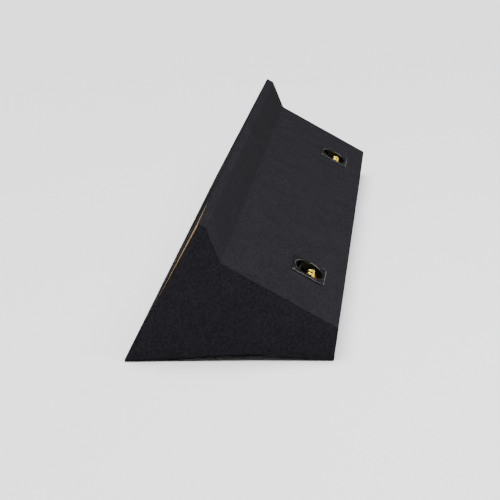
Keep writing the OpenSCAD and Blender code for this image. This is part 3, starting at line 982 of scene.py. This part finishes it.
class ENCLOSURE_OT_screws(bpy.types.Operator):
    """Screws that hold the cups and the woofers"""

    bl_idname = "enclosure.screws"
    bl_label = "Screws"

    def execute(self, context):
        s = context.scene.enclosure_screw
        cup = context.scene.enclosure_cup
        tree = screw_tree()
        lift = Matrix.Translation((0, 0, (cup.gasket + cup.flange) * MM))
        points = [cup_place(side) @ lift @ p for side in SIDES for p in screw_corners(cup)]
        screw_set("screws_cups", "cup_screws", tree, points, cup_place("right").to_euler(),
                  pan_screw(s.cup_head, s.cup_head_height, s.cup_shank, s.length), s.seed)
        ring = [Matrix.Rotation((k + 0.5) * 2 * math.pi / s.woofer_count, 4, "Z")
                @ Vector((s.woofer_ring, 0, s.seat)) * MM for k in range(s.woofer_count)]
        points = [woofer_place(side) @ p for side in SIDES for p in ring]
        screw_set("screws_woofers", "woofer_screws", tree, points, woofer_place("right").to_euler(),
                  pan_screw(s.woofer_head, s.woofer_head_height, s.woofer_shank, s.length), s.seed)
        return {"FINISHED"}


# ---- Woofers ----


class WooferSettings(bpy.types.PropertyGroup):
    frame_seat: in_mm("Frame seat", "Below the carpet", -8.0)
    trim: in_mm("Trim ring", "Outside radius", 129.5)
    trim_top: in_mm("Trim top", "Below the carpet", -2.8)
    counterbore: in_mm("Counterbore", "Radius round a screw", 4.5)
    roll_in: in_mm("Roll start", "Inner radius of the rolls", 94.0)
    roll_out: in_mm("Roll end", "Outer radius of the rolls", 112.0)
    roll_height: in_mm("Roll height", "Of each roll of the surround", 4.2)
    rubber: in_mm("Rubber", "Thickness of the surround", 0.8)
    neck: in_mm("Cone neck", "Radius at the coil", 25.6)
    neck_z: in_mm("Neck depth", "Below the carpet", -43.0)
    dome: in_mm("Dome radius", "Radius of the cap's sphere", 46.0)
    cap: in_mm("Dust cap", "Radius", 34.0)
    cap_z: in_mm("Dust cap edge", "Below the carpet", -39.27)
    spider_z: in_mm("Spider", "Below the carpet", -50.4)
    spider_in: in_mm("Ripples start", "Radius", 29.0)
    spider_out: in_mm("Ripples end", "Radius", 57.0)


def steps(start, end, size):
    count = round((end - start) / size)
    return [start + (end - start) * k / count for k in range(count + 1)]


def strip_profile(radii, height, thickness):
    """A thin closed ring profile that follows height(r)."""
    return [(r, height(r)) for r in radii] + [(r, height(r) + thickness) for r in reversed(radii)]


def flexes(obj):
    """Bakes the piece's placement into its mesh; the piece stays attached to no body and does not bend."""
    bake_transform(obj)


class ENCLOSURE_OT_woofers(bpy.types.Operator):
    """Trim ring, surround, cone, dust cap and spider of each woofer"""

    bl_idname = "enclosure.woofers"
    bl_label = "Woofers"

    def execute(self, context):
        s = context.scene.enclosure_woofer
        screws = context.scene.enclosure_screw
        seat, flange = s.frame_seat, screws.seat
        flat = [(113.0, flange + 0.8), (113.0, s.trim_top - 1.6), (113.4, s.trim_top - 1.1),
                (114.6, s.trim_top - 0.25), (115.6, s.trim_top)]
        trim = [(117.2, flange), (s.trim, flange)]
        trim += arc((s.trim - 1.2, s.trim_top - 1.2), 1.2, 0, 90, 5)
        trim += flat[::-1] + [(117.2, flange + 0.8)]

        def roll(r):
            rise = (flange - seat) * min(1, max(0, (r - s.roll_in) / (s.roll_out - s.roll_in)))
            inside = s.roll_in < r < s.roll_out
            wave = abs(math.sin(2 * math.pi * (r - s.roll_in) / (s.roll_out - s.roll_in))) if inside else 0
            return seat + rise + s.roll_height * wave

        def ripple(r):
            inside = s.spider_in < r < s.spider_out
            return s.spider_z + (1.6 * abs(math.sin((r - s.spider_in) * math.pi / 7)) if inside else 0)

        rubber = [88.0, 91.0] + steps(s.roll_in, s.roll_out, 0.5) + [114.5, 117.0]
        cloth = [s.neck + 0.65] + steps(s.spider_in, s.spider_out, 0.5) + [60.0, 63.0]
        front = [(94, seat - 0.4), (93.6, seat - 0.05), (87, seat - 0.05), (84.5, seat - 1.0), (70, -20),
                 (57.5, -27.6), (45, -34.5), (s.neck, s.neck_z)]
        back = [(s.neck, s.neck_z - 1.4), (45, -36), (57.5, -29.1), (70, -21.4), (84.5, seat - 2.7),
                (87, seat - 1.2), (93.7, seat - 1.2)]
        drop = math.sqrt(s.dome ** 2 - s.cap ** 2)
        dome = [(r, s.cap_z - drop + math.sqrt(s.dome ** 2 - r * r)) for r in steps(0, s.cap, 2)]
        shell = dome + [(r * (s.cap - 1) / s.cap, z - 1) for r, z in dome[-2::-1]]
        for side in SIDES:
            place = woofer_place(side)
            coil = f"cone_assembly_{side}"
            ring = lathe(f"trim_ring_{side}", trim, place, 192, ring=True)
            bores = [Matrix.Rotation((k + 0.5) * 2 * math.pi / screws.woofer_count, 4, "Z")
                     @ Matrix.Translation((screws.woofer_ring * MM, 0, 0))
                     for k in range(screws.woofer_count)]
            cut(ring, [plug(place @ b, s.counterbore, -12, 2, 32) for b in bores])
            smooth(ring, 35)
            finish_piece(ring, CABINET, [f"trim_gasket_{side}"], "trim_rubber")
            cone = lathe(f"paper_cone_{side}", front + back, place, 192, ring=True)
            smooth(cone, 50)
            finish_piece(cone, coil, [f"cone_{side}"], "cone_paper")
            cap = lathe(f"cap_{side}", shell, place, 96)
            smooth(cap, 50)
            finish_piece(cap, coil, [f"dust_cap_{side}"], "cap_plastic")
            for name, radii, height, thickness, inner, outer, node, slot in (
                ("rubber_surround", rubber, roll, s.rubber, s.roll_in, s.roll_out, "surround",
                 "surround_rubber"),
                ("rippled_spider", cloth, ripple, 0.6, s.spider_in, s.spider_out, "spider", "spider_cloth"),
            ):
                obj = lathe(f"{name}_{side}", strip_profile(radii, height, thickness), place, 144, ring=True)
                smooth(obj, 50)
                finish_piece(obj, None, [f"{node}_{side}"], slot)
                flexes(obj)
        return {"FINISHED"}


# ---- Other CAD nodes ----


class ENCLOSURE_OT_finishes(bpy.types.Operator):
    """Material on every CAD node, from the record's slot"""

    bl_idname = "enclosure.finishes"
    bl_label = "Finishes"

    def execute(self, context):
        for part in RECORD["subparts"]:
            obj = frame["nodes"][part["node"]]
            obj.data.materials.clear()
            obj.data.materials.append(MATERIALS[part["material_slot"]])
        return {"FINISHED"}


# ---- Stage ----


class StageSettings(bpy.types.PropertyGroup):
    azimuth: in_degrees("Azimuth", "Direction of view", 96.49)
    elevation: in_degrees("Elevation", "Camera above the horizon", 16.44)
    roll: in_degrees("Roll", "Turn of the camera about its view", -2.55)
    lens: in_mm("Lens", "Focal length", 115.2)
    ahead: in_mm("Ahead", "Camera beyond the right end", 2671.5)
    aside: in_mm("Aside", "Camera behind the middle", 348.1)
    above: in_mm("Above", "Camera above the floor", 1001.7)
    floor: StringProperty(name="Floor", description="sRGB colour of the floor", default="#F4F4F4")
    sky: FloatProperty(name="Surroundings", description="Strength of the white surroundings", default=0.08)
    backdrop: FloatProperty(name="Backdrop", description="Surroundings as seen by the camera", default=1.0)
    overhead: FloatProperty(name="Overhead light", description="Strength in W/m2", default=7.0)
    overhead_size: in_degrees("Overhead size", "Angle across the light", 60.0)
    key: FloatProperty(name="Key light", description="Its power", default=25.0, unit="POWER")
    fill: FloatProperty(name="Fill light", description="Its power", default=6.0, unit="POWER")


def aimed(name, data, location, target):
    obj = bpy.data.objects.new(name, data)
    obj.location = location
    obj.rotation_euler = (Vector(target) - Vector(location)).to_track_quat("-Z", "Y").to_euler()
    bpy.context.scene.collection.objects.link(obj)


def area_light(name, power, size, location, target):
    data = bpy.data.lights.new(name, "AREA")
    data.energy = power
    data.shape = "DISK"
    data.size = size
    aimed(name, data, location, target)


def white_room(s):
    """White surroundings: dim as a light, pale where the camera sees them past the floor."""
    world = bpy.data.worlds.new("white_room")
    world.use_nodes = True
    tree = world.node_tree
    path = tree.nodes.new("ShaderNodeLightPath")
    strength = tree.nodes.new("ShaderNodeMapRange")
    strength.inputs["To Min"].default_value = s.sky
    strength.inputs["To Max"].default_value = s.backdrop
    tree.links.new(path.outputs["Is Camera Ray"], strength.inputs["Value"])
    background = tree.nodes["Background"]
    background.inputs["Color"].default_value = (1, 1, 1, 1)
    tree.links.new(strength.outputs["Result"], background.inputs["Strength"])
    return world


class ENCLOSURE_OT_stage(bpy.types.Operator):
    """Floor, soft lights and camera"""

    bl_idname = "enclosure.stage"
    bl_label = "Stage"

    def execute(self, context):
        s = context.scene.enclosure_stage
        reach = 12.0
        corners = [(-reach, -reach, 0), (reach, -reach, 0), (reach, reach, 0), (-reach, reach, 0)]
        floor = new_object("floor", corners, [[0, 1, 2, 3]])
        material, tree, shader, _ = new_material("matt_floor", Roughness=0.9, Specular_IOR_Level=0.1)
        shader.inputs["Base Color"].default_value = linear(s.floor)
        floor.data.materials.append(material)
        context.scene.world = white_room(s)
        overhead = bpy.data.lights.new("overhead", "SUN")
        overhead.energy = s.overhead
        overhead.angle = s.overhead_size
        aimed("overhead", overhead, (0.1, 0.2, 3.0), (0, 0, 0))
        area_light("key", s.key, 0.7, (1.1, 1.35, 2.0), (0.5, 0, 0.1))
        area_light("fill", s.fill, 1.2, (3.4, -0.6, 1.4), (0, 0, 0.1))
        data = bpy.data.cameras.new("camera")
        data.lens = s.lens
        data.sensor_width = 36
        camera = bpy.data.objects.new("camera", data)
        a, e = s.azimuth, s.elevation
        forward = -Vector((math.sin(a) * math.cos(e), -math.cos(a) * math.cos(e), math.sin(e)))
        turn = forward.to_track_quat("-Z", "Y").to_matrix().to_4x4()
        camera.matrix_world = (Matrix.Translation((LENGTH / 2 + s.ahead * MM, s.aside * MM, s.above * MM))
                               @ turn @ Matrix.Rotation(s.roll, 4, "Z"))
        context.scene.collection.objects.link(camera)
        context.scene.camera = camera
        return {"FINISHED"}


class ENCLOSURE_PT_panel(bpy.types.Panel):
    bl_label = "Enclosure"
    bl_idname = "ENCLOSURE_PT_panel"
    bl_space_type = "VIEW_3D"
    bl_region_type = "UI"
    bl_category = "Enclosure"

    def draw(self, context):
        for operator in OPERATORS:
            self.layout.operator(operator.bl_idname)


OPERATORS = (ENCLOSURE_OT_finishes, ENCLOSURE_OT_carpet, ENCLOSURE_OT_cups, ENCLOSURE_OT_posts,
             ENCLOSURE_OT_woofers, ENCLOSURE_OT_screws, ENCLOSURE_OT_stage)
GROUPS = {
    "enclosure_carpet": CarpetSettings,
    "enclosure_cup": CupSettings,
    "enclosure_post": PostSettings,
    "enclosure_screw": ScrewSettings,
    "enclosure_woofer": WooferSettings,
    "enclosure_stage": StageSettings,
}


def register():
    for cls in (*GROUPS.values(), *OPERATORS, ENCLOSURE_PT_panel):
        bpy.utils.register_class(cls)
    for name, group in GROUPS.items():
        setattr(bpy.types.Scene, name, PointerProperty(type=group))


def unregister():
    for name in GROUPS:
        delattr(bpy.types.Scene, name)
    for cls in reversed((*GROUPS.values(), *OPERATORS, ENCLOSURE_PT_panel)):
        bpy.utils.unregister_class(cls)


def main():
    register()
    make_materials(bpy.context.scene.enclosure_carpet)
    bpy.ops.enclosure.finishes()
    bpy.ops.enclosure.carpet()
    bpy.ops.enclosure.cups()
    bpy.ops.enclosure.posts()
    bpy.ops.enclosure.woofers()
    bpy.ops.enclosure.screws()
    bpy.ops.enclosure.stage()


if __name__ == "__main__":
    main()
